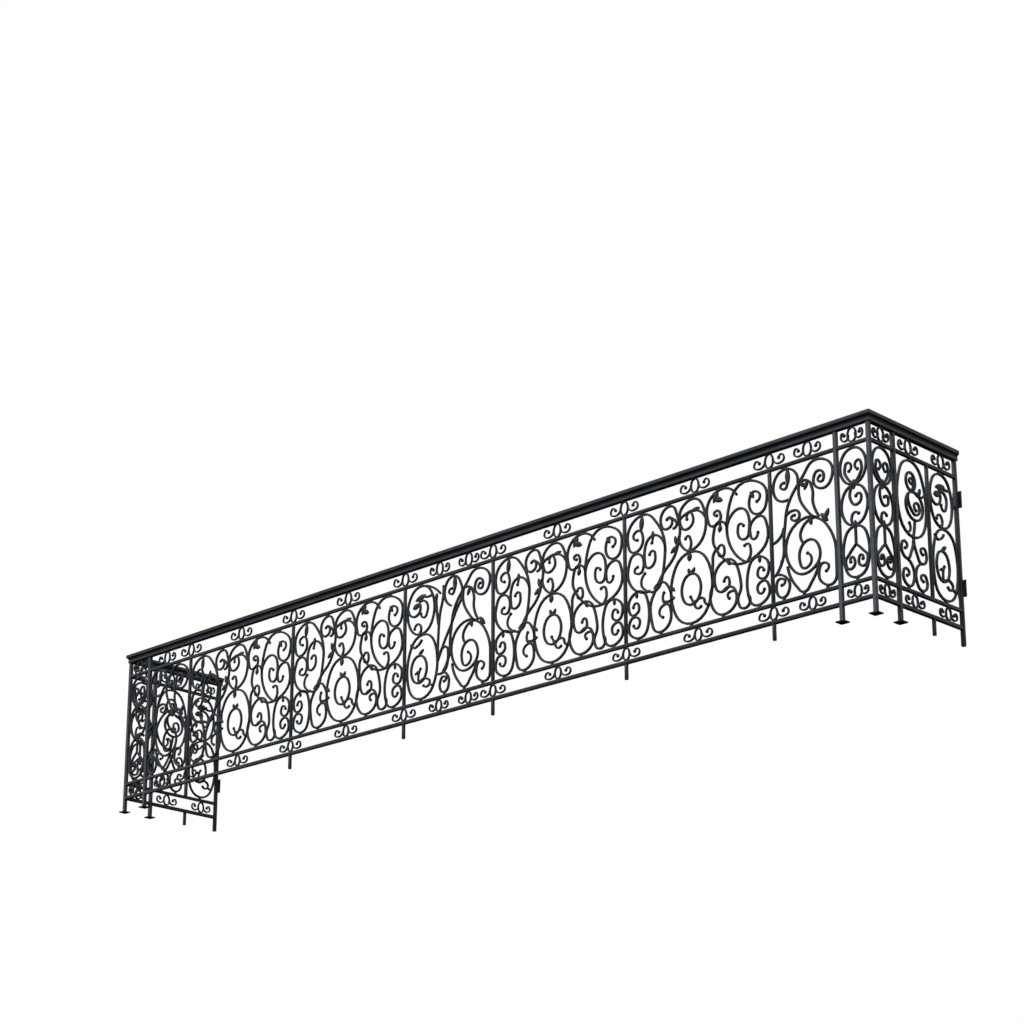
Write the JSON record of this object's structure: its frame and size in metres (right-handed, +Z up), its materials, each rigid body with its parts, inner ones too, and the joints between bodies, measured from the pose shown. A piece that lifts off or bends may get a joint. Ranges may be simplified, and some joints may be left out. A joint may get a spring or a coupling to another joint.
{
  "type": "iron balcony railing",
  "caption": "Long wrought iron balcony railing with scroll panels, ring friezes, moulded handrail and two short returns that end at the wall.",
  "frame": {"origin": "bottom centre of the whole railing: slab level, midway along the front and midway from the handrail's front edge to the wall", "axes": "+X along the front, to the right seen from the street; +Y back to the wall; +Z up"},
  "size_m": [5.917, 0.776, 1.05],
  "materials": {
    "bars": "satin, weathered dark blue-black paint",
    "scrollwork": "satin, weathered dark blue-black paint",
    "handrail": "satin, weathered dark blue-black paint",
    "fixings": "dull dark paint"
  },
  "bodies": {
    "root": {"handrail_front": "handrail", "handrail_left": "handrail", "handrail_right": "handrail", "upper_rail_front": "bars", "upper_rail_left": "bars", "upper_rail_right": "bars", "lower_rail_front": "bars", "lower_rail_left": "bars", "lower_rail_right": "bars", "bottom_rail_front": "bars", "bottom_rail_left": "bars", "bottom_rail_right": "bars", "corner_post_left": "bars", "corner_post_right": "bars", "front_end_posts": "bars", "return_post_left": "bars", "return_post_right": "bars", "wall_post_left": "bars", "wall_post_right": "bars", "panel_bars_front": "bars", "panel_bars_return": "bars", "feet_front": "bars", "feet_return": "bars", "narrow_scroll_left": "scrollwork", "narrow_scroll_right": "scrollwork", "outer_scroll_left": "scrollwork", "outer_scroll_right": "scrollwork", "wide_scroll_1": "scrollwork", "wide_scroll_2": "scrollwork", "wide_scroll_3": "scrollwork", "wide_scroll_4": "scrollwork", "centre_scroll": "scrollwork", "return_narrow_scroll_left": "scrollwork", "return_narrow_scroll_right": "scrollwork", "return_middle_scroll_left": "scrollwork", "return_middle_scroll_right": "scrollwork", "return_wall_scroll_left": "scrollwork", "return_wall_scroll_right": "scrollwork", "upper_frieze_front": "scrollwork", "upper_frieze_left": "scrollwork", "upper_frieze_right": "scrollwork", "lower_frieze_front": "scrollwork", "lower_frieze_left": "scrollwork", "lower_frieze_right": "scrollwork", "wall_plates": "fixings"}
  },
  "joints": []
}
